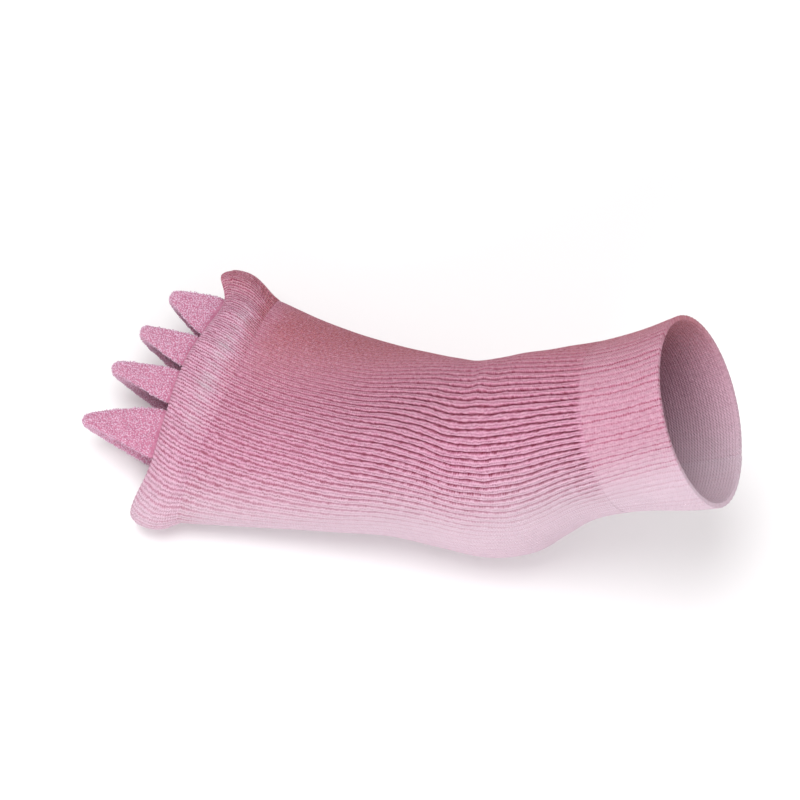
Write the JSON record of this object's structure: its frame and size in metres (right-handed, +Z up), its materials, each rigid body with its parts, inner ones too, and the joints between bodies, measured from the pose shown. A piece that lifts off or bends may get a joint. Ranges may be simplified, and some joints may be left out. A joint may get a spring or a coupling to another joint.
{
  "type": "toe sock",
  "caption": "Open-toe ribbed ankle sock with a turned toe hem and padded terry dividers that hold the toes apart, in its worn form.",
  "frame": {"origin": "the heel seat: the point of the inner sole that the heel stands on", "axes": "+Z up, -X towards the toes, +X towards the leg, -Y the big toe's side, +Y the little toe's side"},
  "size_m": [0.2798, 0.1195, 0.151],
  "materials": {
    "hem_knit": "plain puffy cotton knit, pink",
    "rose_rib": "ribbed cotton knit, rose pink with paler ridges",
    "pale_rib": "fine ribbed cotton knit, pale pink",
    "terry": "looped terry cloth, pale pink"
  },
  "bodies": {
    "root": {"toe_hem": "hem_knit", "foot_tube": "rose_rib", "leg_cuff": "pale_rib", "toe_divider_1": "terry", "toe_divider_2": "terry", "toe_divider_3": "terry", "toe_divider_4": "terry"}
  },
  "joints": []
}
